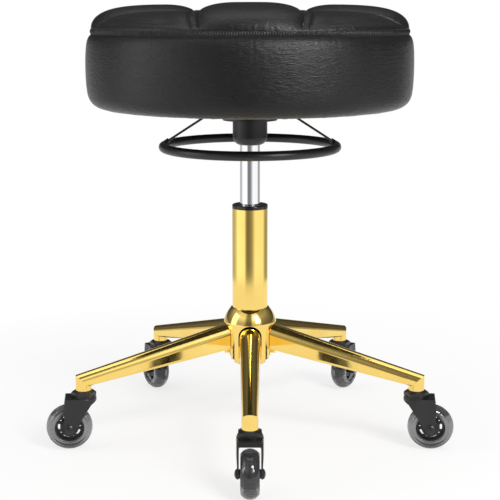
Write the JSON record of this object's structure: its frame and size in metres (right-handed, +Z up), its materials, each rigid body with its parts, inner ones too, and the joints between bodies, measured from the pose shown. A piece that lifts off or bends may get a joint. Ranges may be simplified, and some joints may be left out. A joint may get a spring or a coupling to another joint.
{
  "type": "pedicure stool",
  "caption": "Low round salon stool with a tufted cushion on a swivelling gas lift, a ring lever under the seat, and a five-arm star base on swivel casters.",
  "frame": {"origin": "on the floor, on the axis of the gas lift column", "axes": "+Z up along the column, -Y towards the front arm of the base, +X to the right seen from the front"},
  "size_m": [0.5624, 0.5359, 0.608],
  "materials": {
    "gold_plate": "polished",
    "chrome_tube": "polished",
    "black_steel": "satin",
    "bright_steel": "satin",
    "satin_black_plastic": "satin",
    "gloss_black_plastic": "gloss",
    "black_leatherette": "satin",
    "foam": "matte",
    "plywood": "matte",
    "dust_fabric": "matte",
    "black_rubber": "matte",
    "clear_polyurethane": "gloss"
  },
  "bodies": {
    "base": {"hub": "gold_plate", "stand_tube": "gold_plate", "guide_bush": "gloss_black_plastic", "arm_front": "gold_plate", "arm_right": "gold_plate", "arm_rear_right": "gold_plate", "arm_rear_left": "gold_plate", "arm_left": "gold_plate", "caster_front_stem": "black_steel", "caster_right_stem": "black_steel", "caster_rear_right_stem": "black_steel", "caster_rear_left_stem": "black_steel", "caster_left_stem": "black_steel"},
    "swivel": {"piston_rod": "bright_steel", "piston": "bright_steel", "rubber_buffer": "black_rubber", "thrust_bearing": "bright_steel", "rod_clip": "bright_steel"},
    "seat": {"lift_tube": "chrome_tube", "mounting_plate": "black_steel", "socket_sleeve": "bright_steel", "socket_boot": "satin_black_plastic", "seat_board": "plywood", "foam_cushion": "foam", "top_panel": "black_leatherette", "side_band": "black_leatherette", "dust_cover": "dust_fabric", "plate_bolts": "bright_steel", "tee_nuts": "bright_steel"},
    "lever": {"lever_ring": "black_steel", "lever_wire": "black_steel", "lever_paddle": "black_steel", "wire_ferrules": "black_steel"},
    "pin": {"release_pin": "bright_steel"},
    "fork_front": {"caster_front_fork": "black_steel", "caster_front_axle": "black_steel"},
    "wheel_front": {"caster_front_core": "satin_black_plastic", "caster_front_bearings": "black_steel", "caster_front_tyre": "clear_polyurethane"},
    "fork_right": {"caster_right_fork": "black_steel", "caster_right_axle": "black_steel"},
    "wheel_right": {"caster_right_core": "satin_black_plastic", "caster_right_bearings": "black_steel", "caster_right_tyre": "clear_polyurethane"},
    "fork_rear_right": {"caster_rear_right_fork": "black_steel", "caster_rear_right_axle": "black_steel"},
    "wheel_rear_right": {"caster_rear_right_core": "satin_black_plastic", "caster_rear_right_bearings": "black_steel", "caster_rear_right_tyre": "clear_polyurethane"},
    "fork_rear_left": {"caster_rear_left_fork": "black_steel", "caster_rear_left_axle": "black_steel"},
    "wheel_rear_left": {"caster_rear_left_core": "satin_black_plastic", "caster_rear_left_bearings": "black_steel", "caster_rear_left_tyre": "clear_polyurethane"},
    "fork_left": {"caster_left_fork": "black_steel", "caster_left_axle": "black_steel"},
    "wheel_left": {"caster_left_core": "satin_black_plastic", "caster_left_bearings": "black_steel", "caster_left_tyre": "clear_polyurethane"}
  },
  "joints": [
    {"name": "seat_swivel", "type": "hinge", "parent": "base", "child": "swivel", "pos_m": [0, 0, 0.1], "axis": [0, 0, 1], "continuous": true},
    {"name": "seat_height", "type": "slide", "parent": "swivel", "child": "seat", "axis": [0, 0, 1], "range_m": [-0.07, 0.03]},
    {"name": "lever_tilt", "type": "hinge", "parent": "seat", "child": "lever", "pos_m": [0, 0.016, 0.4615], "axis": [1, 0, 0], "range_deg": [0, 7], "stiffness_Nm_per_rad": 2, "springref_deg": -8.59},
    {"name": "pin_press", "type": "slide", "parent": "seat", "child": "pin", "axis": [0, 0, 1], "range_m": [-0.00196, 0]},
    {"name": "swivel_front", "type": "hinge", "parent": "base", "child": "fork_front", "pos_m": [0, -0.241, 0.07], "axis": [0, 0, 1], "continuous": true},
    {"name": "roll_front", "type": "hinge", "parent": "fork_front", "child": "wheel_front", "pos_m": [0, -0.2615, 0.03175], "axis": [1, 0, 0], "continuous": true},
    {"name": "swivel_right", "type": "hinge", "parent": "base", "child": "fork_right", "pos_m": [0.2292, -0.07447, 0.07], "axis": [0, 0, 1], "continuous": true},
    {"name": "roll_right", "type": "hinge", "parent": "fork_right", "child": "wheel_right", "pos_m": [0.24955, -0.07697, 0.03175], "axis": [0.1219, 0.9925, 0], "continuous": true},
    {"name": "swivel_rear_right", "type": "hinge", "parent": "base", "child": "fork_rear_right", "pos_m": [0.14166, 0.19497, 0.07], "axis": [0, 0, 1], "continuous": true},
    {"name": "roll_rear_right", "type": "hinge", "parent": "fork_rear_right", "child": "wheel_rear_right", "pos_m": [0.15128, 0.21307, 0.03175], "axis": [-0.8829, 0.4695, 0], "continuous": true},
    {"name": "swivel_rear_left", "type": "hinge", "parent": "base", "child": "fork_rear_left", "pos_m": [-0.14166, 0.19497, 0.07], "axis": [0, 0, 1], "continuous": true},
    {"name": "roll_rear_left", "type": "hinge", "parent": "fork_rear_left", "child": "wheel_rear_left", "pos_m": [-0.15128, 0.21307, 0.03175], "axis": [-0.8829, -0.4695, 0], "continuous": true},
    {"name": "swivel_left", "type": "hinge", "parent": "base", "child": "fork_left", "pos_m": [-0.2292, -0.07447, 0.07], "axis": [0, 0, 1], "continuous": true},
    {"name": "roll_left", "type": "hinge", "parent": "fork_left", "child": "wheel_left", "pos_m": [-0.24955, -0.07697, 0.03175], "axis": [0.1219, -0.9925, 0], "continuous": true}
  ],
  "couplings": [
    {"joint": "pin_press", "follows": "lever_tilt", "m_per_rad": -0.016}
  ]
}
